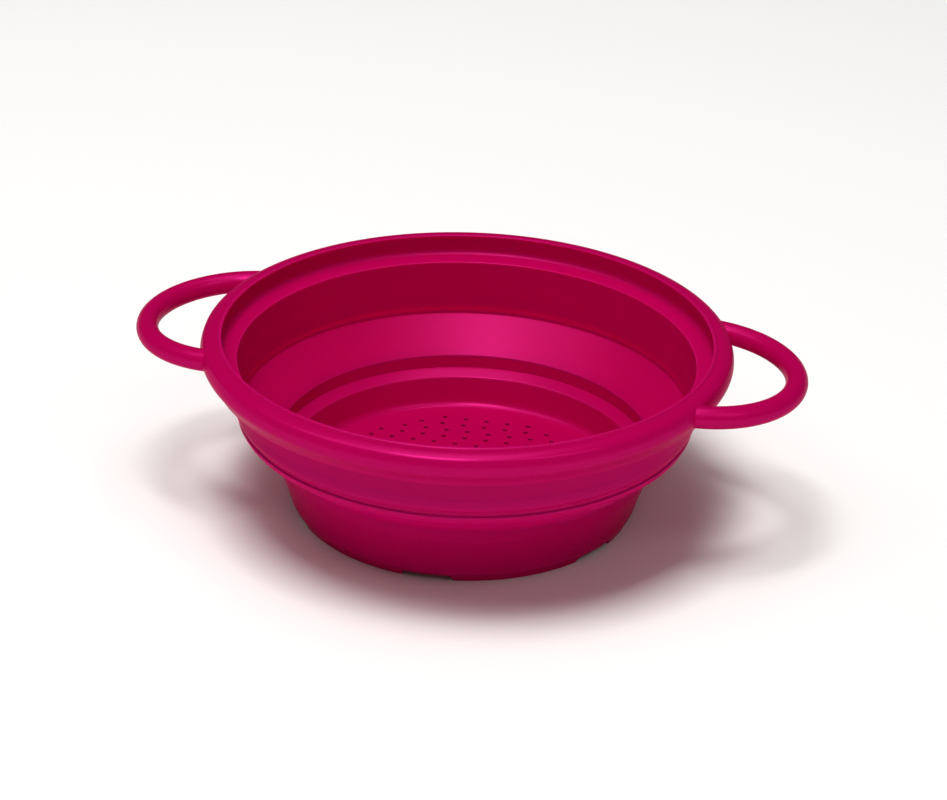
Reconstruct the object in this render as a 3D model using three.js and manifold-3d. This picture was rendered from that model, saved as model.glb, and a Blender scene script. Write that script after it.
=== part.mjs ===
// Collapsible colander with two loop handles, standing open on its foot.
// Millimetres, +Z up, the foot on z = 0 and the handles along X.
import * as THREE from 'three';
import { mergeVertices } from 'three/addons/utils/BufferGeometryUtils.js';
import Module from 'manifold-3d';

// Clearances between separate pieces
const fit = 0.3;

// Base: foot skirt, strainer dish and the hoop above them
const skirtFlare = 8.6;
const skirtSag = 1.0;
const footEdge = 2.2;
const footEdgeHeight = 4.6;
const skirtHeight = 23.4;
const skirtWall = 1.8;
const rebateWidth = 1.2;
const flangeThickness = 2.2;
const baseHoopHeight = 5.3;
const baseHoopWidth = 1.7;
const baseHoopFlare = 1.5;

// Drain gaps under the foot
const gapCount = 6;
const gapWidth = 22.0;
const gapHeight = 3.0;

// Strainer dish
const ledgeWidth = 5.1;
const ledgeDrop = 2.8;
const dishDepth = 9.6;
const dishTaper = 1.3;
const dishWall = 1.3;
const dishFillet = 4.4;
const dishFootInset = 2.4;
const plateInset = 4.8;
const plateThickness = 2.4;
const plateShelf = 2.8;
const plateShelfThickness = 1.4;

// Drain holes: straight rows along X whose columns sway from row to row
const holeRadius = 1.7;
const holeSides = 6;
const holePitch = 9.8;
const rowPitch = 6.2;
const columnSway = 2.3;
const columnOffset = 0.4;
const rowOffset = -2.7;
const rowsPerSway = 4;
const holeMargin = 7.2;

// Fold and collar
const foldHeight = 15.2;
const foldReach = 16.45;
const foldHeadWidth = 1.4;
const foldSag = 1.0;
const collarTaper = 1.15;
const collarHeight = 25.1;
const collarWall = 2.25;
const bevelWidth = 6.6;
const bevelHeight = 1.6;
const coveRound = 3.8;
const lipUndercut = 0.1;
const lipHeight = 9.1;
const lipRidge = 1.7;
const lipRound = 0.6;
const lipWall = 2.2;
const lipFlangeThickness = 2.4;

// Hoop let into the foot of the collar
const hoopRise = 2.4;
const hoopHeight = 2.2;
const hoopThickness = 1.2;
const hoopSeat = 0.9;

// Rim frame
const rimRadius = 114.8;
const rimWidth = 7.3;
const rimHeight = 15.3;
const rimWall = 2.2;
const rimTopThickness = 4.0;
const rimGroove = 0.8;
const ridgeInset = 3.4;
const bulgeDrop = 6.0;
const chinHeight = 5.1;
const chinInset = 1.5;
const hemInset = 4.9;

// Loop handles
const handleRadius = 42.6;
const handleTube = 4.8;
const handleInset = 15.4;
const handleDrop = 7.0;
const handleSlope = 0.045;

// Facets
const ringSegments = 48;
const roundSteps = 3;
const tubeSides = 12;
const loopSteps = 26;

// Levels that follow from the sizes above
const baseTop = skirtHeight + fit + baseHoopHeight;
const collarBottom = baseTop + foldHeight;
const bevelBottom = collarBottom + collarHeight;
const bevelTop = bevelBottom + bevelHeight;
const rimTop = bevelTop + lipHeight;
const rimBottom = rimTop - rimHeight;
const dishTop = skirtHeight - ledgeDrop;
const dishBottom = dishTop - dishDepth;
const plateTop = dishBottom - dishFillet;
const plateBottom = plateTop - plateThickness;
const shelfTop = plateBottom - fit;
const hoopBottom = collarBottom + hoopRise;
const hoopTop = hoopBottom + hoopHeight;
const lipFlangeTop = rimTop - rimTopThickness - fit;
const lipFlangeBottom = lipFlangeTop - lipFlangeThickness;

// Radii that follow from the rim inwards and down
const handleCentre = rimRadius - handleInset;
const lipOuterRadius = rimRadius - rimWidth - fit;
const lipRadius = lipOuterRadius - lipRidge;
const bevelTopRadius = lipRadius + lipUndercut;
const collarTopRadius = bevelTopRadius - bevelWidth;
const collarBottomRadius = collarTopRadius - collarTaper;
const baseHoopRadius = collarBottomRadius - foldReach;
const skirtTopRadius = baseHoopRadius + baseHoopWidth;
const hoopTopRadius = skirtTopRadius + baseHoopFlare;
const rebateRadius = skirtTopRadius - rebateWidth;
const footRadius = skirtTopRadius - skirtFlare;
const dishTopRadius = baseHoopRadius - ledgeWidth;
const dishBottomRadius = dishTopRadius - dishTaper;
const plateRadius = dishBottomRadius - plateInset;
const plateBore = plateRadius + fit;

const wasm = await Module();
wasm.setup();

const crimson = (roughness) => new THREE.MeshStandardMaterial({ color: 0xb0004a, roughness, metalness: 0 });
const rigidPlastic = crimson(0.42);
const softRubber = crimson(0.6);

// A closed outline of [radius, height] points, anticlockwise, turned round the Z axis.
// A point with a third and fourth value is the end of a round whose corner those values give.
function ring(outline) {
  const path = new THREE.Path();
  const [first, ...rest] = [...outline, outline[0]];
  path.moveTo(first[0], first[1]);
  for (const [r, z, cornerR, cornerZ] of rest) {
    if (cornerR === undefined) path.lineTo(r, z);
    else path.quadraticCurveTo(cornerR, cornerZ, r, z);
  }
  const turned = new THREE.LatheGeometry(path.getPoints(roundSteps), ringSegments);
  return welded(turned.rotateX(Math.PI / 2));
}

function welded(geometry) {
  geometry.deleteAttribute('normal');
  geometry.deleteAttribute('uv');
  return mergeVertices(geometry);
}

function toSolid(geometry) {
  const vertProperties = new Float32Array(geometry.attributes.position.array);
  const triVerts = new Uint32Array(geometry.index.array);
  return new wasm.Manifold(new wasm.Mesh({ numProp: 3, vertProperties, triVerts }));
}

function toGeometry(solid) {
  const mesh = solid.getMesh();
  const geometry = new THREE.BufferGeometry();
  geometry.setAttribute('position', new THREE.BufferAttribute(mesh.vertProperties, 3));
  geometry.setIndex(new THREE.BufferAttribute(mesh.triVerts, 1));
  return geometry;
}

const colander = new THREE.Group();

function addPiece(name, geometry, material) {
  geometry.computeVertexNormals();
  const mesh = new THREE.Mesh(geometry, material);
  mesh.name = name;
  colander.add(mesh);
}

// Outer skirt with a rebate inside its top edge for the dish, and drain gaps under the foot
function footSkirt() {
  const edgeRadius = footRadius + footEdge;
  const sagRadius = (edgeRadius + skirtTopRadius) / 2 - skirtSag;
  const body = toSolid(ring([
    [footRadius - skirtWall, 0],
    [footRadius, 0],
    [edgeRadius, footEdgeHeight],
    [skirtTopRadius, skirtHeight, sagRadius, (footEdgeHeight + skirtHeight) / 2],
    [rebateRadius, skirtHeight],
    [rebateRadius, skirtHeight - flangeThickness - fit],
    [skirtTopRadius - skirtWall, skirtHeight - flangeThickness - fit],
    [edgeRadius - skirtWall, footEdgeHeight],
  ]));
  const gap = new THREE.BoxGeometry(footRadius, gapWidth, 2 * gapHeight);
  gap.translate(footRadius, 0, 0);
  gap.rotateZ(Math.PI / gapCount);
  let cut = body;
  for (let i = 0; i < gapCount; i += 1) {
    cut = cut.subtract(toSolid(welded(gap.clone().rotateZ((2 * Math.PI * i) / gapCount))));
  }
  return toGeometry(cut);
}

// Flange that lies in the skirt's rebate, sloping ledge, steep wall and the shelf under the plate
function dishRing() {
  const flangeRadius = rebateRadius - fit;
  const flangeBottom = skirtHeight - flangeThickness;
  return ring([
    [plateRadius - plateShelf, shelfTop],
    [plateRadius - plateShelf, shelfTop - plateShelfThickness],
    [dishBottomRadius - dishFootInset, shelfTop - plateShelfThickness],
    [dishBottomRadius + dishWall - fit, dishBottom - dishWall],
    [dishTopRadius + dishWall, dishTop - dishWall],
    [skirtTopRadius - skirtWall - fit, flangeBottom],
    [flangeRadius, flangeBottom],
    [flangeRadius, skirtHeight],
    [baseHoopRadius, skirtHeight],
    [dishTopRadius, dishTop],
    [dishBottomRadius, dishBottom],
    [plateBore, plateTop, dishBottomRadius, plateTop],
    [plateBore, shelfTop],
  ]);
}

// Flat floor: every row of holes is shifted along X by a wave, so the columns sway
function strainerPlate() {
  const disc = new THREE.Shape();
  disc.absarc(0, 0, plateRadius, 0, 2 * Math.PI);
  const field = plateRadius - holeMargin;
  const firstRow = Math.ceil((-field - rowOffset) / rowPitch);
  const lastRow = Math.floor((field - rowOffset) / rowPitch);
  for (let row = firstRow; row <= lastRow; row += 1) {
    const y = row * rowPitch + rowOffset;
    const wave = Math.sin((Math.PI * (2 * Math.abs(row) - 1)) / rowsPerSway);
    const shift = columnOffset - columnSway * wave;
    const reach = Math.sqrt(field * field - y * y);
    const firstColumn = Math.ceil((-reach - shift) / holePitch);
    const lastColumn = Math.floor((reach - shift) / holePitch);
    for (let column = firstColumn; column <= lastColumn; column += 1) {
      disc.holes.push(drainHole(column * holePitch + shift, y));
    }
  }
  const options = { depth: plateThickness, bevelEnabled: false, curveSegments: ringSegments / 2 };
  return welded(new THREE.ExtrudeGeometry(disc, options).translate(0, 0, plateBottom));
}

function drainHole(x, y) {
  const corner = (k) => {
    const turn = (2 * Math.PI * k) / holeSides;
    return new THREE.Vector2(x + holeRadius * Math.cos(turn), y + holeRadius * Math.sin(turn));
  };
  return new THREE.Path(Array.from({ length: holeSides }, (_, k) => corner(k)));
}

// Stiff hoop on top of the skirt and the dish's flange
function baseHoop() {
  return ring([
    [baseHoopRadius, skirtHeight + fit],
    [skirtTopRadius, skirtHeight + fit],
    [hoopTopRadius, baseTop],
    [baseHoopRadius, baseTop],
  ]);
}

// Cone between the base hoop and the collar, thinnest in the middle of its slope
function foldMembrane() {
  const bottom = baseTop + fit;
  const top = collarBottom - fit;
  const headRadius = collarBottomRadius + foldHeadWidth;
  return ring([
    [baseHoopRadius, bottom],
    [hoopTopRadius, bottom],
    [headRadius, top, (hoopTopRadius + headRadius) / 2 - foldSag, (bottom + top) / 2],
    [collarBottomRadius, top],
  ]);
}

// Radius of the collar's outer face at a height
function collarOuter(z) {
  return collarBottomRadius + collarWall + (collarTaper * (z - collarBottom)) / collarHeight;
}

const hoopInner = collarOuter(hoopBottom) - hoopSeat + fit;

// Straight wall, thin at the fold and grooved for the hoop, then the bevel, the cove up to the lip
// and the flange that carries the rim frame
function collarBody() {
  const grooveRadius = hoopInner - fit;
  const underBevel = bevelBottom - lipWall;
  const coveOuter = bevelTopRadius + lipWall;
  const coveFoot = bevelTop - (coveRound * bevelHeight) / bevelWidth;
  return ring([
    [collarBottomRadius, collarBottom],
    [collarBottomRadius + foldHeadWidth, collarBottom],
    [grooveRadius, hoopBottom - fit],
    [grooveRadius, hoopTop + fit],
    [collarOuter(hoopTop + fit), hoopTop + fit],
    [collarOuter(underBevel), underBevel],
    [coveOuter, bevelTop],
    [coveOuter, lipFlangeBottom],
    [rimRadius - rimWall - fit, lipFlangeBottom],
    [rimRadius - rimWall - fit, lipFlangeTop],
    [lipOuterRadius, lipFlangeTop],
    [lipOuterRadius, rimTop - lipRound],
    [lipRadius, rimTop - lipRound, (lipRadius + lipOuterRadius) / 2, rimTop + lipRound],
    [bevelTopRadius, bevelTop + coveRound],
    [bevelTopRadius - coveRound, coveFoot, bevelTopRadius, bevelTop],
    [collarTopRadius, bevelBottom],
  ]);
}

function collarHoop() {
  return ring([
    [hoopInner, hoopBottom],
    [hoopInner + hoopThickness, hoopBottom],
    [hoopInner + hoopThickness, hoopTop],
    [hoopInner, hoopTop],
  ]);
}

// Inverted channel: shallow groove beside the lip, round bulge outside, and a skirt that draws in
function rimFrame() {
  const inner = lipOuterRadius + fit;
  const ridge = rimRadius - ridgeInset;
  const bulge = rimTop - bulgeDrop;
  const chin = rimBottom + chinHeight;
  const hem = rimRadius - hemInset;
  return ring([
    [inner, rimTop - rimTopThickness],
    [rimRadius - rimWall, rimTop - rimTopThickness],
    [rimRadius - rimWall, lipFlangeBottom - fit],
    [hem - rimWall, rimBottom],
    [hem, rimBottom],
    [rimRadius - chinInset, chin],
    [rimRadius, bulge, rimRadius, (chin + bulge) / 2],
    [ridge, rimTop, rimRadius, rimTop - rimGroove],
    [(inner + ridge) / 2, rimTop - rimGroove],
    [inner, rimTop - rimGroove],
  ]);
}

// Round tube bent to a half circle that slopes down from the rim, its ends shaped to the rim's skirt
function loopHandle(side) {
  const loop = new THREE.CatmullRomCurve3(Array.from({ length: loopSteps + 1 }, (_, k) => {
    const turn = -Math.PI / 2 + (Math.PI * k) / loopSteps;
    const reach = handleCentre + handleRadius * Math.cos(turn);
    const z = rimTop - handleDrop - handleSlope * (reach - rimRadius);
    return new THREE.Vector3(side * reach, handleRadius * Math.sin(turn), z);
  }));
  const section = new THREE.Shape();
  section.absarc(0, 0, handleTube, 0, 2 * Math.PI);
  const tube = new THREE.ExtrudeGeometry(section, {
    steps: loopSteps, extrudePath: loop, bevelEnabled: false, curveSegments: tubeSides / 2,
  });
  const rimCore = ring([
    [0, rimBottom - rimHeight],
    [rimRadius + fit, rimBottom - rimHeight],
    [rimRadius + fit, rimTop + rimHeight],
    [0, rimTop + rimHeight],
  ]);
  return toGeometry(toSolid(welded(tube)).subtract(toSolid(rimCore)));
}

addPiece('foot_skirt', footSkirt(), rigidPlastic);
addPiece('dish_wall', dishRing(), rigidPlastic);
addPiece('strainer_plate', strainerPlate(), rigidPlastic);
addPiece('base_hoop', baseHoop(), rigidPlastic);
addPiece('fold_membrane', foldMembrane(), softRubber);
addPiece('collar_wall', collarBody(), softRubber);
addPiece('collar_hoop', collarHoop(), rigidPlastic);
addPiece('rim_frame', rimFrame(), rigidPlastic);
addPiece('handle_left', loopHandle(-1), rigidPlastic);
addPiece('handle_right', loopHandle(1), rigidPlastic);

export default colander;
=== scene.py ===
"""Dresses a collapsible colander: a crimson bowl with two loop handles whose wall folds flat."""
import logging
import math
from dataclasses import dataclass
from enum import Enum
from typing import Mapping, Sequence, Union

import bpy
from mathutils import Matrix, Vector


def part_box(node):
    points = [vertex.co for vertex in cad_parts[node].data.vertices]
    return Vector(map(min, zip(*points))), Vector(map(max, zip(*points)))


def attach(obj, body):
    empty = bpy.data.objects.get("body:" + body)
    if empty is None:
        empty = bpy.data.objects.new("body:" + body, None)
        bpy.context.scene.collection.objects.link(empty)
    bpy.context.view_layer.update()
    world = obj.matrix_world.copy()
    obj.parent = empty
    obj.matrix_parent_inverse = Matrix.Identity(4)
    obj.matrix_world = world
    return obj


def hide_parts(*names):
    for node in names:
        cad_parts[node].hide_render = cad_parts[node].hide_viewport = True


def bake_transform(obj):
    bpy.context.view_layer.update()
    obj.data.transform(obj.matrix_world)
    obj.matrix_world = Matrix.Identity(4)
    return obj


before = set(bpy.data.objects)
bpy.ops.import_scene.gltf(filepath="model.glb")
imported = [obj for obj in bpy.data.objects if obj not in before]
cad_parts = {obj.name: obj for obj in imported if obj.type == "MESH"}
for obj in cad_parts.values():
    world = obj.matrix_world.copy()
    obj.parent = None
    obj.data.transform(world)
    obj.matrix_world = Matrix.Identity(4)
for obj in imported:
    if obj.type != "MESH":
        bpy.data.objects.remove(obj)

LOG = logging.getLogger("colander")
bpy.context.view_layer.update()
MM = 0.001

# Colour sockets of the Mix node, which share their names with its number sockets
MIX_A, MIX_B, MIX_RESULT = 6, 7, 2

Value = Union[float, int, bool, str, Sequence[float], bpy.types.NodeSocket, bpy.types.ID]


class Body(Enum):
    """The two bodies that the collapse slide joins."""

    BASE = "base"
    RIM = "rim"


class Slot(Enum):
    """The record's material slots."""

    RIGID = "rigid"
    SOFT = "soft"


def linear(hex_colour: str) -> tuple[float, float, float, float]:
    """Turns an sRGB hex colour into linear RGBA.

    Args:
        hex_colour: Six hex digits, such as "b0004a".

    Returns:
        The linear colour with full alpha.
    """
    channels = [int(hex_colour[i:i + 2], 16) / 255 for i in (0, 2, 4)]
    values = [c / 12.92 if c <= 0.04045 else ((c + 0.055) / 1.055) ** 2.4 for c in channels]
    return (values[0], values[1], values[2], 1.0)


def add_node(
    tree: bpy.types.NodeTree,
    kind: str,
    inputs: Mapping[Union[str, int], Value] | None = None,
    **settings: Value,
) -> bpy.types.Node:
    """Adds a node, sets its properties, and links or sets its inputs.

    Args:
        tree: The shader or geometry tree.
        kind: The node's type name.
        inputs: Socket name or index, with the socket to link or the value to set.
        **settings: Properties of the node itself.

    Returns:
        The new node.
    """
    node = tree.nodes.new(kind)
    for key, value in settings.items():
        setattr(node, key, value)
    for key, value in (inputs or {}).items():
        if isinstance(value, bpy.types.NodeSocket):
            tree.links.new(value, node.inputs[key])
        else:
            node.inputs[key].default_value = value
    return node


# Red light wanders furthest through the dye, green least
GLOW_REACH = (1.0, 0.15, 0.4)
# Polypropylene and the elastomer bend light alike
PLASTIC_IOR = 1.49
# Octaves and falloff of the colour patches and of the mould's grain
PATCH_DETAIL, PATCH_FALLOFF = 3.0, 0.5
GRAIN_DETAIL, GRAIN_FALLOFF = 2.0, 0.6


@dataclass(frozen=True)
class MouldedFinish:
    """A plastic moulded in one dyed colour, with the fine grain of a spark-eroded mould.

    Attributes:
        name: The material's name.
        colour: Main colour as sRGB hex.
        deep: Colour of the slightly denser patches.
        worn: Colour of edges that rub against hands and cutlery.
        roughness: Middle roughness.
        roughness_spread: How far the roughness wanders either way.
        specular: Strength of the dielectric reflection.
        pearl: Share of the surface that mirrors, as fine mica in the dye does.
        pearl_colour: Colour of the mica's reflection, as sRGB hex.
        glow: Share of the light that wanders through the body of the plastic.
        glow_mm: How far that light wanders.
        grain_mm: Size of the mould's grain, coarser than the real one so that it shows.
        grain_depth_mm: Height of the mould's grain.
        patch_mm: Size of the faint colour patches.
    """

    name: str
    colour: str
    deep: str
    worn: str
    roughness: float
    roughness_spread: float
    specular: float
    pearl: float
    pearl_colour: str
    glow: float
    glow_mm: float
    grain_mm: float
    grain_depth_mm: float
    patch_mm: float

    def material(self) -> bpy.types.Material:
        """Builds the node material.

        Returns:
            The material, ready to assign.
        """
        material = bpy.data.materials.new(self.name)
        material.use_nodes = True
        tree = material.node_tree
        tree.nodes.clear()
        place = add_node(tree, "ShaderNodeTexCoord").outputs["Object"]
        patch = add_node(tree, "ShaderNodeTexNoise", {
            "Vector": place, "Scale": 1 / (self.patch_mm * MM),
            "Detail": PATCH_DETAIL, "Roughness": PATCH_FALLOFF,
        })
        grain = add_node(tree, "ShaderNodeTexNoise", {
            "Vector": place, "Scale": 1 / (self.grain_mm * MM),
            "Detail": GRAIN_DETAIL, "Roughness": GRAIN_FALLOFF,
        })
        dyed = add_node(tree, "ShaderNodeMix", {
            "Factor": patch.outputs["Fac"], MIX_A: linear(self.colour), MIX_B: linear(self.deep),
        }, data_type="RGBA")
        edge = add_node(tree, "ShaderNodeAttribute", attribute_name="edge")
        rubbed = add_node(tree, "ShaderNodeMath", {
            0: edge.outputs["Fac"], 1: patch.outputs["Fac"],
        }, operation="MULTIPLY")
        tinted = add_node(tree, "ShaderNodeMix", {
            "Factor": rubbed.outputs["Value"],
            MIX_A: dyed.outputs[MIX_RESULT], MIX_B: linear(self.worn),
        }, data_type="RGBA")
        gloss = add_node(tree, "ShaderNodeMapRange", {
            "Value": grain.outputs["Fac"],
            "To Min": self.roughness - self.roughness_spread,
            "To Max": self.roughness + self.roughness_spread,
        })
        bump = add_node(tree, "ShaderNodeBump", {
            "Height": grain.outputs["Fac"], "Distance": self.grain_depth_mm * MM, "Strength": 1.0,
        })
        surface = {"Roughness": gloss.outputs["Result"], "Normal": bump.outputs["Normal"]}
        body = add_node(tree, "ShaderNodeBsdfPrincipled", {
            "Base Color": tinted.outputs[MIX_RESULT],
            "Specular IOR Level": self.specular, "IOR": PLASTIC_IOR,
            "Subsurface Weight": self.glow, "Subsurface Radius": GLOW_REACH,
            "Subsurface Scale": self.glow_mm * MM, **surface,
        })
        mica = add_node(tree, "ShaderNodeBsdfPrincipled", {
            "Base Color": linear(self.pearl_colour), "Specular Tint": linear(self.pearl_colour),
            "Metallic": 1.0, **surface,
        })
        mixed = add_node(tree, "ShaderNodeMixShader", {
            0: self.pearl, 1: body.outputs["BSDF"], 2: mica.outputs["BSDF"],
        })
        add_node(tree, "ShaderNodeOutputMaterial", {"Surface": mixed.outputs["Shader"]})
        return material


# Polypropylene, injection moulded: satin, dense colour, narrow pink highlights along its ridges
POLYPROPYLENE = MouldedFinish(
    name="satin_polypropylene", colour="c00054", deep="b80050", worn="c81264",
    roughness=0.28, roughness_spread=0.02, specular=0.01, pearl=0.085, pearl_colour="ff36a8",
    glow=0.0, glow_mm=0.5, grain_mm=0.9, grain_depth_mm=0.004, patch_mm=35.0,
)

# Thermoplastic elastomer, overmoulded: broader sheen, and a glow where light wanders through it
ELASTOMER = MouldedFinish(
    name="matt_elastomer", colour="c20056", deep="ba0052", worn="c81064",
    roughness=0.39, roughness_spread=0.02, specular=0.01, pearl=0.08, pearl_colour="ff36a8",
    glow=0.8, glow_mm=4.5, grain_mm=0.7, grain_depth_mm=0.004, patch_mm=30.0,
)


@dataclass(frozen=True)
class Corner:
    """A corner of a turned outline, in millimetres.

    Attributes:
        r: Distance from the axis.
        z: Height above the foot.
        bend: Radius that rounds the corner. A corner without bend is kept as a plain point.
    """

    r: float
    z: float
    bend: float


# Steps round a bend and round a turned piece
ARC_STEPS = 7
RING_SEGMENTS = 216
# Share of a side that its two bends may use up
SIDE_SHARE = 0.8
# How far beside a bend a point holds the flat, in millimetres and as a share of the side at most
HOLD, HOLD_SHARE = 0.35, 0.08
# Bends in millimetres: where pieces meet flush, in seats, at fits and on open edges
SEAM, CRISP, FINE, EASED = 0.02, 0.1, 0.2, 0.3
# Sharpest angle that is still shaded smooth, in degrees
SMOOTH_ANGLE = 40.0


def rounded(corners: Sequence[Corner]) -> list[tuple[float, float, float]]:
    """Rounds a closed outline and adds points that hold its flats flat.

    Args:
        corners: The outline's corners, anticlockwise with the axis on the left.

    Returns:
        Points as radius, height and edge weight, which is 1 on outward bends and 0 elsewhere.
    """
    points: list[tuple[float, float, float]] = []
    count = len(corners)
    for i, corner in enumerate(corners):
        if corner.bend == 0:
            points.append((corner.r, corner.z, 0.0))
            continue
        here = Vector((corner.r, corner.z))
        back = Vector((corners[i - 1].r, corners[i - 1].z)) - here
        ahead = Vector((corners[(i + 1) % count].r, corners[(i + 1) % count].z)) - here
        half = back.angle(ahead) / 2
        before, after = corners[i - 1].bend, corners[(i + 1) % count].bend
        room = SIDE_SHARE * corner.bend * min(
            back.length / (corner.bend + before), ahead.length / (corner.bend + after))
        reach = min(corner.bend / math.tan(half), room)
        bend = reach * math.tan(half)
        hold = min(HOLD, HOLD_SHARE * back.length, HOLD_SHARE * ahead.length)
        u, v = back.normalized(), ahead.normalized()
        outward = 1.0 if u.x * v.y - u.y * v.x < 0 else 0.0
        centre = here + (u + v).normalized() * (bend / math.sin(half))
        start, end = here + u * reach - centre, here + v * reach - centre
        sweep = start.angle_signed(end)
        first = here + u * (reach + hold)
        points.append((first.x, first.y, 0.0))
        for k in range(ARC_STEPS + 1):
            spot = centre + Matrix.Rotation(-sweep * k / ARC_STEPS, 2) @ start
            points.append((spot.x, spot.y, outward))
        last = here + v * (reach + hold)
        points.append((last.x, last.y, 0.0))
    return points


def spline(controls: Sequence[tuple[float, float]], steps: int) -> list[tuple[float, float]]:
    """Draws a cubic B-spline that starts and ends on its outer control points.

    Args:
        controls: The control points.
        steps: Points per span.

    Returns:
        Points along the curve.
    """
    ends = [controls[0]] * 2 + list(controls) + [controls[-1]] * 2
    places = [Vector(spot) for spot in ends]
    curve = []
    for span in zip(places, places[1:], places[2:], places[3:]):
        for k in range(steps):
            t = k / steps
            shares = ((1 - t) ** 3, 3 * t**3 - 6 * t**2 + 4, -3 * t**3 + 3 * t**2 + 3 * t + 1, t**3)
            pulls = (spot * share for spot, share in zip(span, shares))
            curve.append(sum(pulls, Vector((0, 0))) / 6)
    return [(spot.x, spot.y) for spot in [*curve, places[-1]]]


def subdivided(
    points: Sequence[tuple[float, float, float]], step: float,
) -> list[tuple[float, float, float]]:
    """Splits the long sides of a closed outline, so that it can bend.

    Args:
        points: Radius, height and edge weight of each point.
        step: Longest side that is kept, in millimetres.

    Returns:
        The outline with the added points.
    """
    result = []
    for i, point in enumerate(points):
        here, there = Vector(point), Vector(points[(i + 1) % len(points)])
        parts = max(1, math.ceil((there - here).to_2d().length / step))
        result.extend(tuple(here.lerp(there, k / parts)) for k in range(parts))
    return result


def new_object(name: str, mesh: bpy.types.Mesh, material: bpy.types.Material) -> bpy.types.Object:
    """Links an object at the origin with one material.

    Args:
        name: The piece's name.
        mesh: Its mesh, in place.
        material: Its finish.

    Returns:
        The new object.
    """
    mesh.materials.clear()
    mesh.materials.append(material)
    mesh.name = name
    thing = bpy.data.objects.new(name, mesh)
    bpy.context.scene.collection.objects.link(thing)
    return thing


def turned_mesh(name: str, points: Sequence[tuple[float, float, float]]) -> bpy.types.Mesh:
    """Turns a closed outline round the Z axis.

    Args:
        name: The mesh's name.
        points: Radius and height in millimetres, and the edge weight.

    Returns:
        A closed mesh in metres whose faces point outwards.
    """
    count = len(points)
    verts, weights = [], []
    for i in range(RING_SEGMENTS):
        turn = 2 * math.pi * i / RING_SEGMENTS
        for r, z, edge in points:
            verts.append((r * MM * math.cos(turn), r * MM * math.sin(turn), z * MM))
            weights.append(edge)
    faces = []
    for i in range(RING_SEGMENTS):
        here, there = i * count, ((i + 1) % RING_SEGMENTS) * count
        for j in range(count):
            k = (j + 1) % count
            faces.append((here + j, there + j, there + k, here + k))
    mesh = bpy.data.meshes.new(name)
    mesh.from_pydata(verts, [], faces)
    mesh.attributes.new("edge", "FLOAT", "POINT").data.foreach_set("value", weights)
    mesh.polygons.foreach_set("use_smooth", [True] * len(mesh.polygons))
    mesh.update()
    return mesh


def turned(name: str, corners: Sequence[Corner], material: bpy.types.Material) -> bpy.types.Object:
    """Makes a turned piece from the corners of its outline.

    Args:
        name: The piece's name.
        corners: The outline, anticlockwise with the axis on the left.
        material: The piece's finish.

    Returns:
        The new object.
    """
    return new_object(name, turned_mesh(name, rounded(corners)), material)


class Recipe:
    """A geometry node tree with named sizes, grown into a plain mesh."""

    def __init__(self, name: str, sizes: Mapping[str, float], takes_mesh: bool = False) -> None:
        """Starts the tree.

        Args:
            name: The tree's name.
            sizes: Each named input with its value, in metres, radians or counts.
            takes_mesh: Whether the tree works on the object's own mesh.
        """
        self.tree = bpy.data.node_groups.new(name, "GeometryNodeTree")
        self.sizes = dict(sizes)
        face = self.tree.interface
        if takes_mesh:
            face.new_socket("Mesh", in_out="INPUT", socket_type="NodeSocketGeometry")
        for size in self.sizes:
            face.new_socket(size, in_out="INPUT", socket_type="NodeSocketFloat")
        face.new_socket("Finish", in_out="INPUT", socket_type="NodeSocketMaterial")
        face.new_socket("Mesh", in_out="OUTPUT", socket_type="NodeSocketGeometry")
        self.given = add_node(self.tree, "NodeGroupInput").outputs

    def add(
        self, kind: str, inputs: Mapping[Union[str, int], Value] | None = None, **settings: Value,
    ) -> Mapping[str, bpy.types.NodeSocket]:
        """Adds a node to the tree and returns its outputs."""
        return add_node(self.tree, kind, inputs, **settings).outputs

    def sum(self, operation: str, *values: Value) -> bpy.types.NodeSocket:
        """Adds one arithmetic node and returns its result."""
        return self.add("ShaderNodeMath", dict(enumerate(values)), operation=operation)["Value"]

    def end(self, mesh: bpy.types.NodeSocket) -> None:
        """Ends the tree in real geometry with its finish.

        Args:
            mesh: The socket that carries the finished shape.
        """
        real = self.add("GeometryNodeRealizeInstances", {"Geometry": mesh})["Geometry"]
        done = self.add("GeometryNodeSetMaterial", {"Geometry": real, "Material": self.given["Finish"]})
        add_node(self.tree, "NodeGroupOutput", {"Mesh": done["Geometry"]})

    def grow(
        self, name: str, material: bpy.types.Material, mesh: bpy.types.Mesh | None = None,
    ) -> bpy.types.Object:
        """Runs the tree once and keeps its result as a plain mesh.

        Args:
            name: The piece's name.
            material: The piece's finish.
            mesh: The mesh that the tree works on, if it takes one.

        Returns:
            An object with the grown mesh and no modifier.
        """
        seed = mesh or bpy.data.meshes.new(name)
        carrier = bpy.data.objects.new(name, seed)
        bpy.context.scene.collection.objects.link(carrier)
        modifier = carrier.modifiers.new(self.tree.name, "NODES")
        modifier.node_group = self.tree
        for item in self.tree.interface.items_tree:
            if item.in_out == "INPUT" and item.name in self.sizes:
                modifier[item.identifier] = float(self.sizes[item.name])
            elif item.in_out == "INPUT" and item.name == "Finish":
                modifier[item.identifier] = material
        bpy.context.view_layer.update()
        shape = carrier.evaluated_get(bpy.context.evaluated_depsgraph_get())
        grown = bpy.data.meshes.new_from_object(shape)
        bpy.data.objects.remove(carrier)
        return new_object(name, grown, material)


def smooth_by_angle(thing: bpy.types.Object, degrees: float = SMOOTH_ANGLE) -> None:
    """Shades a piece smooth, apart from edges sharper than an angle.

    Args:
        thing: The piece.
        degrees: The sharpest angle that is still smooth.
    """
    thing.data.polygons.foreach_set("use_smooth", [True] * len(thing.data.polygons))
    thing.data.set_sharp_from_angle(angle=math.radians(degrees))


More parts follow.
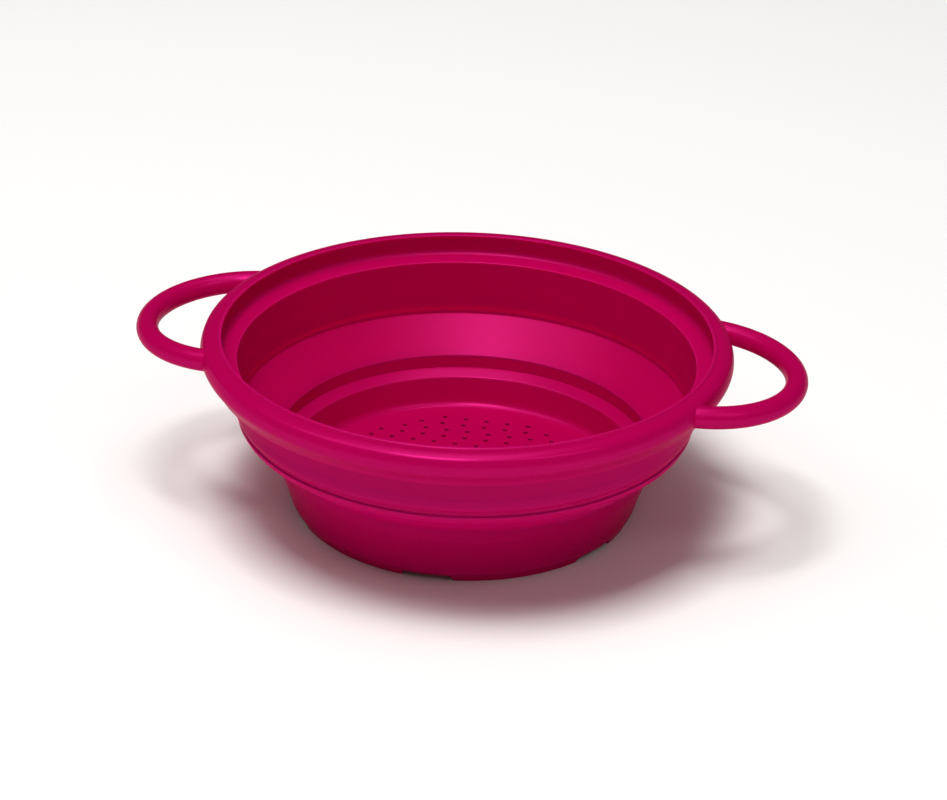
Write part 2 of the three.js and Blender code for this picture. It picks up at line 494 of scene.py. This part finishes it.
def settle(thing: bpy.types.Object, node: str, body: Body) -> None:
    """Lets a piece stand for its CAD node and move with its body.

    Args:
        thing: The finished piece.
        node: The CAD node that it stands for.
        body: The body that it rides on.
    """
    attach(thing, body.value)
    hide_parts(node)
    LOG.info("%s stands for %s on %s", thing.name, node, body.value)


def low(node: str) -> Vector:
    """Lowest corner of a CAD node in millimetres."""
    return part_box(node)[0] / MM


def high(node: str) -> Vector:
    """Highest corner of a CAD node in millimetres."""
    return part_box(node)[1] / MM


@dataclass
class RimAssembly:
    """Rim frame, loop handles, collar and the hoop round the collar's foot. Sizes in millimetres."""

    rigid: bpy.types.Material
    soft: bpy.types.Material
    wall: float = 2.2
    top_thickness: float = 4.0
    channel_height: float = 7.0
    channel_root: float = 0.8
    channel_bend: float = 2.0
    hem_bend: float = 0.4
    groove: float = 0.42
    rim_width: float = 7.3
    flange: float = 2.4
    flange_root: float = 0.5
    lip_chamfer: float = 0.45
    lip_edge: float = 0.6
    lip_bend: float = 0.7
    lip_width: float = 1.7
    lip_undercut: float = 1.6
    lip_height: float = 9.8
    lip_wall: float = 2.2
    bevel_width: float = 8.1
    bevel_height: float = 0.9
    cove_bend: float = 2.4
    bevel_bend: float = 0.5
    collar_wall: float = 2.25
    collar_taper: float = 1.15
    collar_bend: float = 1.5
    hoop_thickness: float = 1.2
    hoop_seat: float = 0.2
    hoop_seat_bend: float = 0.15
    fold_width: float = 1.4
    fold_groove: float = 0.45
    fold_edge: float = 0.7
    fold_bend: float = 0.5
    parting: float = 0.03
    fit: float = 0.3
    handle_radius: float = 42.6
    handle_centre: float = 99.4
    handle_tube: float = 4.8
    handle_slope: float = 0.045
    handle_root: float = 1.2
    handle_root_reach: float = 3.0
    handle_sink: float = 0.8
    handle_steps: int = 97
    handle_sides: int = 48
    core_width: float = 14.0
    # The rim's outer face: inset from its radius and depth below its top, from the hem upwards
    rim_outside: tuple[tuple[float, float], ...] = (
        (4.9, 15.3), (4.1, 13.7), (2.9, 11.8), (1.3, 10.0), (0.25, 8.2), (-0.1, 6.2), (0.35, 4.3),
        (0.75, 3.4), (1.0, 2.6), (1.55, 1.8), (2.8, 1.0), (4.4, 0.45), (5.7, 0.35), (6.7, 0.42),
    )
    rim_steps: int = 5
    # The hoop's outer face: share of the way from the wall to its radius, and height above its foot
    hoop_flank: tuple[tuple[float, float], ...] = (
        (-1.3, 0.0), (-0.2, 0.6), (0.55, 1.5), (0.8, 2.6), (0.5, 3.8), (0.1, 5.0), (-0.05, 6.0),
    )
    hoop_steps: int = 4

    def __post_init__(self) -> None:
        """Reads the levels and radii that the CAD fixes."""
        self.top, self.radius = high("rim_frame").z, high("rim_frame").x
        self.collar_bottom = low("collar_wall").z
        self.hoop_low, self.hoop_high = low("collar_hoop").z, high("collar_hoop").z
        self.hoop_radius = high("collar_hoop").x
        self.lip_outer = self.radius - self.rim_width - self.fit
        self.lip_inner = self.lip_outer - self.lip_width
        self.bevel_top_radius = self.lip_inner + self.lip_undercut
        self.collar_radius = self.bevel_top_radius - self.bevel_width
        self.collar_foot_radius = self.collar_radius - self.collar_taper
        self.bevel_top = self.top - self.lip_height
        self.bevel_bottom = self.bevel_top - self.bevel_height

    def outer(self, z: float) -> float:
        """Radius of the collar's outer face at a height."""
        share = (z - self.collar_bottom) / (self.bevel_bottom - self.collar_bottom)
        return self.collar_foot_radius + self.collar_wall + self.collar_taper * share

    def outside(self, inset: float = 0.0) -> list[Corner]:
        """The rim's round outer face from its hem up over its ridge to the groove.

        Args:
            inset: How far the face is drawn in.

        Returns:
            The corners of the face.
        """
        face = spline(self.rim_outside, self.rim_steps)
        return [Corner(self.radius - r - inset, self.top - z, 0.0) for r, z in face]

    def frame_ring(self) -> bpy.types.Object:
        """Rim frame: inverted channel with a round outer face and a groove beside the lip.

        Returns:
            The new object.
        """
        inner = self.lip_outer + self.parting
        face = self.outside()
        return turned("rim_frame_shell", [
            Corner(inner, self.top - self.top_thickness, FINE),
            Corner(self.radius - self.wall, self.top - self.top_thickness, self.channel_root),
            Corner(self.radius - self.wall, self.top - self.channel_height, self.channel_bend),
            Corner(face[0].r - self.wall, face[0].z, self.hem_bend),
            *face,
            Corner(inner, self.top - self.groove, SEAM),
        ], self.rigid)

    def collar(self) -> bpy.types.Object:
        """Collar: straight wall with a seat for the hoop, bevel, cove, lip and hidden flange.

        Returns:
            The new object.
        """
        flange_top = self.top - self.top_thickness - self.parting
        flange_low = flange_top - self.flange
        flange_radius = self.radius - self.wall - self.fit
        seat = self.hoop_radius - self.hoop_thickness - self.hoop_seat
        fold = self.collar_foot_radius + self.fold_width
        under_bevel = self.bevel_bottom - self.lip_wall
        cove_outer = self.bevel_top_radius + self.lip_wall
        return turned("collar_shell", [
            Corner(self.collar_foot_radius, self.collar_bottom, SEAM),
            Corner(fold, self.collar_bottom, SEAM),
            Corner(fold - self.fold_groove, self.collar_bottom + self.fold_edge, self.fold_bend),
            Corner(fold - self.fold_groove, self.hoop_low - self.parting, CRISP),
            Corner(seat, self.hoop_low - self.parting, SEAM),
            Corner(seat, self.hoop_high + self.parting, CRISP),
            Corner(self.outer(self.hoop_high), self.hoop_high + self.parting, self.hoop_seat_bend),
            Corner(self.outer(under_bevel), under_bevel, self.collar_bend),
            Corner(cove_outer, self.bevel_top, self.collar_bend),
            Corner(cove_outer, flange_low, self.flange_root),
            Corner(flange_radius, flange_low, EASED),
            Corner(flange_radius, flange_top, EASED),
            Corner(self.lip_outer, flange_top, CRISP),
            Corner(self.lip_outer, self.top - self.lip_chamfer, FINE),
            Corner(self.lip_outer - self.lip_chamfer, self.top, self.lip_edge),
            Corner(self.lip_inner, self.top, self.lip_bend),
            Corner(self.bevel_top_radius, self.bevel_top, self.cove_bend),
            Corner(self.collar_radius, self.bevel_bottom, self.bevel_bend),
        ], self.soft)

    def hoop(self) -> bpy.types.Object:
        """Hoop let into the collar's foot, rounded below and running out into the wall above.

        Returns:
            The new object.
        """
        inner = self.hoop_radius - self.hoop_thickness - self.hoop_seat + self.parting
        flank = []
        for share, rise in spline(self.hoop_flank, self.hoop_steps):
            wall = self.outer(self.hoop_low + rise)
            flank.append(Corner(wall + share * (self.hoop_radius - wall), self.hoop_low + rise, 0.0))
        return turned("collar_hoop_ring", [
            Corner(inner, self.hoop_low, CRISP),
            *flank,
            Corner(inner, flank[-1].z, SEAM),
        ], self.rigid)

    def handle(self, side: int) -> bpy.types.Object:
        """One loop handle: a round tube on a half circle that swells where it joins the rim.

        Args:
            side: 1 for the right handle, -1 for the left one.

        Returns:
            The new object.
        """
        node = "handle_right" if side > 0 else "handle_left"
        tip = high(node).x if side > 0 else -low(node).x
        tip_level = low(node).z + self.handle_tube
        level = tip_level + self.handle_slope * (tip - self.handle_tube - self.handle_centre)
        recipe = Recipe(f"{node}_loop", {
            "Loop radius": self.handle_radius * MM, "Loop centre": side * self.handle_centre * MM,
            "Level": level * MM, "Slope": -side * self.handle_slope,
            "Tube radius": self.handle_tube * MM, "Root swell": self.handle_root / self.handle_tube,
            "Root reach": self.handle_root_reach * MM, "Rim radius": self.radius * MM,
            "Start angle": -math.pi / 2 if side > 0 else math.pi / 2,
        }, takes_mesh=True)
        given, add, sum_of = recipe.given, recipe.add, recipe.sum
        arc = add("GeometryNodeCurveArc", {
            "Resolution": self.handle_steps, "Radius": given["Loop radius"],
            "Start Angle": given["Start angle"], "Sweep Angle": math.pi,
        }, mode="RADIUS")["Curve"]
        flat_spot = add("ShaderNodeSeparateXYZ", {0: add("GeometryNodeInputPosition")["Position"]})
        height = sum_of("MULTIPLY_ADD", flat_spot["X"], given["Slope"], given["Level"])
        place = add("ShaderNodeCombineXYZ", {"X": given["Loop centre"], "Z": height})["Vector"]
        loop = add("GeometryNodeSetPosition", {"Geometry": arc, "Offset": place})["Geometry"]
        spot = add("ShaderNodeSeparateXYZ", {0: add("GeometryNodeInputPosition")["Position"]})
        flat = add("ShaderNodeCombineXYZ", {"X": spot["X"], "Y": spot["Y"]})["Vector"]
        from_axis = add("ShaderNodeVectorMath", {0: flat}, operation="LENGTH")["Value"]
        clear = sum_of("MAXIMUM", sum_of("SUBTRACT", from_axis, given["Rim radius"]), 0.0)
        reaches = sum_of("DIVIDE", clear, given["Root reach"])
        fade = sum_of("EXPONENT", sum_of("MULTIPLY", reaches, -1.0))
        swell = sum_of("MULTIPLY_ADD", fade, given["Root swell"], 1.0)
        shaped = add("GeometryNodeSetCurveRadius", {"Curve": loop, "Radius": swell})["Curve"]
        section = add("GeometryNodeCurvePrimitiveCircle", {
            "Resolution": self.handle_sides, "Radius": given["Tube radius"],
        }, mode="RADIUS")["Curve"]
        swept = add("GeometryNodeCurveToMesh", {
            "Curve": shaped, "Profile Curve": section, "Fill Caps": True,
        })["Mesh"]
        cut = add("GeometryNodeMeshBoolean", {
            "Mesh 1": swept, "Mesh 2": given["Mesh"],
        }, operation="DIFFERENCE", solver="EXACT")["Mesh"]
        recipe.end(cut)
        core = self.outside(self.handle_sink)
        inside = self.radius - self.core_width
        outline = [Corner(inside, core[0].z, SEAM), *core, Corner(inside, core[-1].z, SEAM)]
        mesh = turned_mesh(f"{node}_core", rounded(outline))
        loop_handle = recipe.grow(f"{node}_grip", self.rigid, mesh)
        smooth_by_angle(loop_handle)
        return loop_handle

    def build(self) -> None:
        """Makes every piece and settles it on the rim body."""
        settle(self.frame_ring(), "rim_frame", Body.RIM)
        settle(self.collar(), "collar_wall", Body.RIM)
        settle(self.hoop(), "collar_hoop", Body.RIM)
        settle(self.handle(-1), "handle_left", Body.RIM)
        settle(self.handle(1), "handle_right", Body.RIM)


@dataclass
class FoldMembrane:
    """Thin cone that turns inside out between the base hoop and the collar. Sizes in millimetres."""

    soft: bpy.types.Material
    foot_radius: float = 81.4
    foot_width: float = 3.4
    foot_turn: tuple[float, float] = (4.9, 2.8)
    foot_bend: float = 12.0
    head_radius: float = 97.85
    head_width: float = 1.4
    head_turn: tuple[float, float] = (0.4, 3.0)
    head_bend: float = 2.0
    edge_height: float = 1.0
    edge_bend: float = 1.0
    inner_rise: float = 0.5
    inner_drop: float = 0.6
    inner_bend: float = 0.9
    step: float = 0.7

    def build(self) -> None:
        """Makes the cone and hides the CAD node that it stands for."""
        bottom, top = high("base_hoop").z, low("collar_wall").z
        outline = rounded([
            Corner(self.foot_radius, bottom, SEAM),
            Corner(self.foot_radius + self.foot_width, bottom, SEAM),
            Corner(self.foot_radius + self.foot_turn[0], bottom + self.foot_turn[1], self.foot_bend),
            Corner(self.head_radius + self.head_turn[0], top - self.head_turn[1], self.head_bend),
            Corner(self.head_radius + self.head_width, top - self.edge_height, self.edge_bend),
            Corner(self.head_radius + self.head_width, top, SEAM),
            Corner(self.head_radius, top, SEAM),
            Corner(self.head_radius, top - self.inner_drop, self.inner_bend),
            Corner(self.foot_radius, bottom + self.inner_rise, self.inner_bend),
        ])
        mesh = turned_mesh("fold_membrane_cone", subdivided(outline, self.step))
        cone = new_object("fold_membrane_cone", mesh, self.soft)
        smooth_by_angle(cone)
        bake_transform(cone)
        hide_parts("fold_membrane")
        LOG.info("%s bends between rim and base", cone.name)


@dataclass
class BaseAssembly:
    """Foot skirt, strainer dish, perforated plate and base hoop. Sizes in millimetres."""

    rigid: bpy.types.Material
    foot_radius: float = 74.5
    foot_bend: float = 0.4
    foot_edge: float = 2.2
    foot_edge_height: float = 4.6
    foot_edge_bend: float = 8.0
    skirt_wall: float = 1.8
    skirt_sag: float = 0.5
    skirt_bend: float = 80.0
    skirt_inner_bend: float = 2.0
    rebate: float = 1.2
    flange: float = 2.2
    flange_root: float = 0.5
    hoop_inner: float = 81.4
    hoop_width: float = 3.4
    ledge_width: float = 5.1
    ledge_drop: float = 2.8
    ledge_bend: float = 0.8
    dish_depth: float = 9.6
    dish_taper: float = 1.3
    dish_wall: float = 1.3
    dish_fillet: float = 4.8
    dish_head_bend: float = 1.0
    dish_outer_bend: float = 3.0
    dish_foot_inset: float = 2.4
    dish_foot_bend: float = 1.2
    shelf: float = 2.8
    parting: float = 0.05
    gap_count: int = 6
    gap_width: float = 22.0
    gap_height: float = 3.0
    gap_bend: float = 2.2
    gap_bend_steps: int = 5
    hole_radius: float = 1.15
    hole_flare: float = 0.05
    hole_sides: int = 20
    hole_smooth_angle: float = 30.0
    hole_pitch: float = 9.8
    row_pitch: float = 6.2
    column_sway: float = 2.3
    column_offset: float = 0.4
    row_offset: float = -2.7
    rows_per_sway: int = 4
    hole_margin: float = 7.2
    # Height of the tool that cuts the holes, in thicknesses of the plate
    cutter_depth: float = 3.0
    fit: float = 0.3

    def __post_init__(self) -> None:
        """Reads the levels and radii that the CAD fixes."""
        self.skirt_top, self.skirt_radius = high("foot_skirt").z, high("foot_skirt").x
        self.hoop_top = high("base_hoop").z
        self.plate_top, self.plate_bottom = high("strainer_plate").z, low("strainer_plate").z
        self.plate_radius = high("strainer_plate").x
        self.dish_low = low("dish_wall").z

    def skirt(self) -> bpy.types.Object:
        """Outer skirt with drain gaps under its foot.

        Returns:
            The new object.
        """
        edge = self.foot_radius + self.foot_edge
        rebate_radius = self.skirt_radius - self.rebate
        rebate_floor = self.skirt_top - self.flange - self.fit
        mesh = turned_mesh("foot_skirt_shell", rounded([
            Corner(self.foot_radius - self.skirt_wall, 0.0, self.foot_bend),
            Corner(self.foot_radius, 0.0, self.foot_bend),
            Corner(edge, self.foot_edge_height, self.foot_edge_bend),
            Corner(
                (edge + self.skirt_radius) / 2 - self.skirt_sag,
                (self.foot_edge_height + self.skirt_top) / 2, self.skirt_bend,
            ),
            Corner(self.skirt_radius, self.skirt_top, SEAM),
            Corner(rebate_radius, self.skirt_top, CRISP),
            Corner(rebate_radius, rebate_floor, FINE),
            Corner(self.skirt_radius - self.skirt_wall, rebate_floor, EASED),
            Corner(edge - self.skirt_wall, self.foot_edge_height, self.skirt_inner_bend),
        ]))
        recipe = Recipe("drain_gaps", {
            "Gap width": self.gap_width * MM, "Gap height": 2 * self.gap_height * MM,
            "Gap bend": self.gap_bend * MM, "Foot radius": self.foot_radius * MM,
            "First turn": math.pi / self.gap_count, "Turn": 2 * math.pi / self.gap_count,
        }, takes_mesh=True)
        given, add, sum_of = recipe.given, recipe.add, recipe.sum
        outline = add("GeometryNodeCurvePrimitiveQuadrilateral", {
            "Width": given["Gap width"], "Height": given["Gap height"],
        }, mode="RECTANGLE")["Curve"]
        bent = add("GeometryNodeFilletCurve", {
            "Curve": outline, "Count": self.gap_bend_steps, "Radius": given["Gap bend"],
        }, mode="POLY")["Curve"]
        face = add("GeometryNodeFillCurve", {"Curve": bent})["Mesh"]
        up = add("ShaderNodeCombineXYZ", {"Z": 1.0})["Vector"]
        prism = add("GeometryNodeExtrudeMesh", {
            "Mesh": face, "Offset": up, "Offset Scale": given["Foot radius"], "Individual": False,
        }, mode="FACES")["Mesh"]
        lid = add("GeometryNodeFlipFaces", {"Mesh": face})["Mesh"]
        join = add_node(recipe.tree, "GeometryNodeJoinGeometry")
        recipe.tree.links.new(prism, join.inputs[0])
        recipe.tree.links.new(lid, join.inputs[0])
        cutter = add("GeometryNodeMergeByDistance", {"Geometry": join.outputs[0]})["Geometry"]
        spots = add("GeometryNodePoints", {"Count": self.gap_count})["Points"]
        number = add("GeometryNodeInputIndex")["Index"]
        turn = sum_of("MULTIPLY_ADD", number, given["Turn"], given["First turn"])
        aim = add("ShaderNodeCombineXYZ", {
            "X": math.pi / 2, "Z": sum_of("ADD", turn, math.pi / 2),
        })["Vector"]
        reach = sum_of("MULTIPLY", given["Foot radius"], 0.5)
        away = add("ShaderNodeCombineXYZ", {
            "X": sum_of("MULTIPLY", reach, sum_of("COSINE", turn)),
            "Y": sum_of("MULTIPLY", reach, sum_of("SINE", turn)),
        })["Vector"]
        set_out = add("GeometryNodeSetPosition", {"Geometry": spots, "Position": away})["Geometry"]
        placed = add("GeometryNodeInstanceOnPoints", {
            "Points": set_out, "Instance": cutter, "Rotation": aim,
        })["Instances"]
        real = add("GeometryNodeRealizeInstances", {"Geometry": placed})["Geometry"]
        cut = add("GeometryNodeMeshBoolean", {
            "Mesh 1": given["Mesh"], "Mesh 2": real,
        }, operation="DIFFERENCE", solver="EXACT")["Mesh"]
        recipe.end(cut)
        skirt = recipe.grow("foot_skirt_shell", self.rigid, mesh)
        smooth_by_angle(skirt)
        return skirt

    def dish(self) -> bpy.types.Object:
        """Flanged wall of the strainer dish, with the shelf that carries the plate.

        Returns:
            The new object.
        """
        flange_radius = self.skirt_radius - self.rebate - self.fit
        flange_low = self.skirt_top - self.flange
        head, head_z = self.hoop_inner - self.ledge_width, self.skirt_top - self.ledge_drop
        foot, foot_z = head - self.dish_taper, head_z - self.dish_depth
        corner = foot - self.dish_taper * (foot_z - self.plate_top) / self.dish_depth
        bore = self.plate_radius + self.parting
        shelf_top = self.plate_bottom - self.parting
        return turned("dish_wall_shell", [
            Corner(self.plate_radius - self.shelf, shelf_top, FINE),
            Corner(self.plate_radius - self.shelf, self.dish_low, EASED),
            Corner(foot - self.dish_foot_inset, self.dish_low, self.dish_foot_bend),
            Corner(foot + self.dish_wall - self.fit, foot_z - self.dish_wall, self.dish_outer_bend),
            Corner(head + self.dish_wall, head_z - self.dish_wall, self.dish_head_bend),
            Corner(self.skirt_radius - self.skirt_wall - self.fit, flange_low, self.flange_root),
            Corner(flange_radius, flange_low, FINE),
            Corner(flange_radius, self.skirt_top - self.parting, FINE),
            Corner(self.hoop_inner, self.skirt_top - self.parting, self.ledge_bend),
            Corner(head, head_z, self.dish_head_bend),
            Corner(corner, self.plate_top, self.dish_fillet),
            Corner(bore, self.plate_top, SEAM),
            Corner(bore, shelf_top, SEAM),
        ], self.rigid)

    def hoop(self) -> bpy.types.Object:
        """Stiff hoop over the skirt and the dish's flange, which carries the membrane.

        Returns:
            The new object.
        """
        return turned("base_hoop_ring", [
            Corner(self.hoop_inner, self.skirt_top, SEAM),
            Corner(self.skirt_radius, self.skirt_top, SEAM),
            Corner(self.hoop_inner + self.hoop_width, self.hoop_top, SEAM),
            Corner(self.hoop_inner, self.hoop_top, SEAM),
        ], self.rigid)

    def plate(self) -> bpy.types.Object:
        """Perforated floor: rows of drain holes whose columns sway, each hole with a small flare.

        Returns:
            The new object.
        """
        field_radius = self.plate_radius - self.hole_margin
        columns = math.ceil(field_radius / self.hole_pitch) + 1
        rows = math.ceil(field_radius / self.row_pitch)
        thickness = self.plate_top - self.plate_bottom
        recipe = Recipe("drain_holes", {
            "Plate radius": self.plate_radius * MM, "Thickness": thickness * MM,
            "Plate middle": (self.plate_top + self.plate_bottom) / 2 * MM,
            "Hole radius": self.hole_radius * MM, "Hole flare": self.hole_flare * MM,
            "Flare level": (self.plate_top - self.hole_flare) * MM,
            "Hole pitch": self.hole_pitch * MM, "Row pitch": self.row_pitch * MM,
            "Sway": self.column_sway * MM, "Offset": self.column_offset * MM,
            "Row offset": self.row_offset * MM,
            "Sway turn": math.pi / self.rows_per_sway, "Field radius": field_radius * MM,
            "Columns": columns, "Rows": rows,
        })
        given, add, sum_of = recipe.given, recipe.add, recipe.sum
        per_row = sum_of("MULTIPLY_ADD", given["Columns"], 2.0, 1.0)
        row_count = sum_of("MULTIPLY_ADD", given["Rows"], 2.0, 1.0)
        number = add("GeometryNodeInputIndex")["Index"]
        row = sum_of("SUBTRACT", sum_of("FLOOR", sum_of("DIVIDE", number, per_row)), given["Rows"])
        column = sum_of("SUBTRACT", sum_of("MODULO", number, per_row), given["Columns"])
        beat = sum_of("MULTIPLY_ADD", sum_of("ABSOLUTE", row), 2.0, -1.0)
        wave = sum_of("SINE", sum_of("MULTIPLY", beat, given["Sway turn"]))
        shift = sum_of("SUBTRACT", given["Offset"], sum_of("MULTIPLY", wave, given["Sway"]))
        place = add("ShaderNodeCombineXYZ", {
            "X": sum_of("MULTIPLY_ADD", column, given["Hole pitch"], shift),
            "Y": sum_of("MULTIPLY_ADD", row, given["Row pitch"], given["Row offset"]),
            "Z": given["Flare level"],
        })["Vector"]
        spots = add("GeometryNodePoints", {
            "Count": sum_of("MULTIPLY", per_row, row_count), "Position": place,
        })["Points"]
        spot = add("ShaderNodeSeparateXYZ", {0: add("GeometryNodeInputPosition")["Position"]})
        across = sum_of("SQRT", sum_of(
            "ADD", sum_of("POWER", spot["X"], 2.0), sum_of("POWER", spot["Y"], 2.0)))
        outside = sum_of("GREATER_THAN", across, given["Field radius"])
        kept = add("GeometryNodeDeleteGeometry", {"Geometry": spots, "Selection": outside})["Geometry"]
        cutter = add("GeometryNodeMeshCylinder", {
            "Vertices": self.hole_sides, "Side Segments": 2, "Radius": given["Hole radius"],
            "Depth": sum_of("MULTIPLY", given["Thickness"], self.cutter_depth),
        })["Mesh"]
        point = add("ShaderNodeSeparateXYZ", {0: add("GeometryNodeInputPosition")["Position"]})
        above = sum_of("MAXIMUM", point["Z"], 0.0)
        growth = sum_of("ADD", sum_of("DIVIDE", above, given["Hole radius"]), 1.0)
        flared = add("GeometryNodeSetPosition", {"Geometry": cutter, "Position": add(
            "ShaderNodeCombineXYZ", {
                "X": sum_of("MULTIPLY", point["X"], growth),
                "Y": sum_of("MULTIPLY", point["Y"], growth), "Z": point["Z"],
            })["Vector"]})["Geometry"]
        placed = add("GeometryNodeInstanceOnPoints", {"Points": kept, "Instance": flared})["Instances"]
        cutters = add("GeometryNodeRealizeInstances", {"Geometry": placed})["Geometry"]
        disc = add("GeometryNodeMeshCylinder", {
            "Vertices": RING_SEGMENTS, "Radius": given["Plate radius"], "Depth": given["Thickness"],
        })["Mesh"]
        lift = add("ShaderNodeCombineXYZ", {"Z": given["Plate middle"]})["Vector"]
        raised = add("GeometryNodeSetPosition", {"Geometry": disc, "Offset": lift})["Geometry"]
        cut = add("GeometryNodeMeshBoolean", {
            "Mesh 1": raised, "Mesh 2": cutters,
        }, operation="DIFFERENCE")["Mesh"]
        recipe.end(cut)
        plate = recipe.grow("strainer_plate_disc", self.rigid)
        smooth_by_angle(plate, self.hole_smooth_angle)
        return plate

    def build(self) -> None:
        """Makes every piece and settles it on the base body."""
        settle(self.skirt(), "foot_skirt", Body.BASE)
        settle(self.dish(), "dish_wall", Body.BASE)
        settle(self.hoop(), "base_hoop", Body.BASE)
        settle(self.plate(), "strainer_plate", Body.BASE)


class Reach(Enum):
    """What a light falls on. The floor throws part of its own light up at the colander."""

    EVERYTHING = "everything"
    COLANDER = "colander"
    FLOOR = "floor"


@dataclass(frozen=True)
class SoftBox:
    """An area light that looks at the colander.

    Attributes:
        name: The light's name.
        place: Where it stands seen from the camera: right, towards the camera, up, in metres.
        width: Width in metres.
        height: Height in metres.
        power: Power in watts.
        reach: What it falls on.
    """

    name: str
    place: tuple[float, float, float]
    width: float
    height: float
    power: float
    reach: Reach = Reach.EVERYTHING


@dataclass
class Studio:
    """Pale floor, soft light and the photograph's camera."""

    azimuth: float = 10.85
    elevation: float = 26.914
    roll: float = 1.65
    distance: float = 1.1
    aim_height: float = 0.045
    image_width: float = 947.0
    image_height: float = 800.0
    focal_pixels: float = 2519.66
    centre_x: float = 465.65
    centre_y: float = 404.4
    sensor: float = 36.0
    nearest: float = 0.05
    furthest: float = 50.0
    floor_size: float = 12.0
    floor_colour: str = "f6f5f3"
    floor_roughness: float = 0.9
    floor_specular: float = 0.1
    surround_colour: str = "ffffff"
    surround_strength: float = 0.1
    boxes: tuple[SoftBox, ...] = (
        SoftBox("key", (-0.28, 0.76, 1.83), 0.7, 0.6, 13.4, Reach.COLANDER),
        SoftBox("top", (0.0, 0.03, 2.0), 1.0, 1.0, 7.0),
        SoftBox("front", (-0.25, 1.2, 1.62), 0.7, 0.7, 5.4, Reach.COLANDER),
        SoftBox("left", (-0.98, 0.17, 1.73), 0.9, 0.9, 4.8),
        SoftBox("right", (0.91, 0.91, 1.53), 0.8, 0.8, 3.4),
        SoftBox("back", (0.0, -0.62, 1.9), 1.0, 1.0, 2.4),
        SoftBox("ground", (-0.6, 0.5, 4.6), 1.8, 1.8, 150.0, Reach.FLOOR),
    )

    def axes(self) -> tuple[Vector, Vector, Vector]:
        """Works out the camera's directions before it is rolled.

        Returns:
            Its right, up and backward directions.
        """
        a, e = math.radians(self.azimuth), math.radians(self.elevation)
        right = Vector((math.cos(a), math.sin(a), 0.0))
        back = Vector((math.sin(a) * math.cos(e), -math.cos(a) * math.cos(e), math.sin(e)))
        return right, back.cross(right), back

    def camera(self) -> None:
        """Sets the camera that the photograph was taken with."""
        right, up, back = self.axes()
        tilt = math.radians(self.roll)
        x_axis = right * math.cos(tilt) + up * math.sin(tilt)
        y_axis = up * math.cos(tilt) - right * math.sin(tilt)
        data = bpy.data.cameras.new("camera")
        data.sensor_width = self.sensor
        data.lens = self.focal_pixels * self.sensor / self.image_width
        data.shift_x = (self.image_width / 2 - self.centre_x) / self.image_width
        data.shift_y = (self.centre_y - self.image_height / 2) / self.image_width
        data.clip_start, data.clip_end = self.nearest, self.furthest
        camera = bpy.data.objects.new("camera", data)
        bpy.context.scene.collection.objects.link(camera)
        turn = Matrix((x_axis, y_axis, back)).transposed().to_4x4()
        place = Vector((0, 0, self.aim_height)) + back * self.distance
        camera.matrix_world = Matrix.Translation(place) @ turn
        bpy.context.scene.camera = camera

    def light(self, box: SoftBox, ground: bpy.types.Object) -> None:
        """Places one soft box so that it faces the colander.

        Args:
            box: The light.
            ground: The floor, which some lights skip and some light alone.
        """
        right, _, back = self.axes()
        towards = Vector((back.x, back.y, 0.0)).normalized()
        place = right * box.place[0] + towards * box.place[1] + Vector((0, 0, box.place[2]))
        data = bpy.data.lights.new(box.name, "AREA")
        data.shape = "RECTANGLE"
        data.size, data.size_y, data.energy = box.width, box.height, box.power
        lamp = bpy.data.objects.new(box.name, data)
        bpy.context.scene.collection.objects.link(lamp)
        lamp.location = place
        aim = Vector((0, 0, self.aim_height)) - place
        lamp.rotation_euler = aim.to_track_quat("-Z", "Y").to_euler()
        if box.reach is not Reach.EVERYTHING:
            lit = bpy.data.collections.new(f"{box.name}_reach")
            lit.objects.link(ground)
            if box.reach is Reach.COLANDER:
                lit.collection_objects[0].light_linking.link_state = "EXCLUDE"
            lamp.light_linking.receiver_collection = lit

    def floor(self) -> bpy.types.Object:
        """Lays the pale floor that the colander stands on.

        Returns:
            The floor.
        """
        half = self.floor_size / 2
        mesh = bpy.data.meshes.new("floor")
        square = [(-half, -half, 0), (half, -half, 0), (half, half, 0), (-half, half, 0)]
        mesh.from_pydata(square, [], [(0, 1, 2, 3)])
        material = bpy.data.materials.new("pale_floor")
        material.use_nodes = True
        shader = material.node_tree.nodes["Principled BSDF"]
        shader.inputs["Base Color"].default_value = linear(self.floor_colour)
        shader.inputs["Roughness"].default_value = self.floor_roughness
        shader.inputs["Specular IOR Level"].default_value = self.floor_specular
        ground = new_object("floor", mesh, material)
        return ground

    def world(self) -> None:
        """Sets a dim even surround and plain colour handling."""
        world = bpy.data.worlds.new("surround")
        world.use_nodes = True
        surround = world.node_tree.nodes["Background"]
        surround.inputs["Color"].default_value = linear(self.surround_colour)
        surround.inputs["Strength"].default_value = self.surround_strength
        bpy.context.scene.world = world
        bpy.context.scene.view_settings.view_transform = "Standard"

    def build(self) -> None:
        """Sets up the whole studio."""
        self.camera()
        ground = self.floor()
        self.world()
        for box in self.boxes:
            self.light(box, ground)


def main() -> None:
    """Builds the studio and every piece of the colander."""
    logging.basicConfig(level=logging.INFO)
    rigid, soft = POLYPROPYLENE.material(), ELASTOMER.material()
    Studio().build()
    BaseAssembly(rigid).build()
    FoldMembrane(soft).build()
    RimAssembly(rigid, soft).build()


if __name__ == "__main__":
    main()
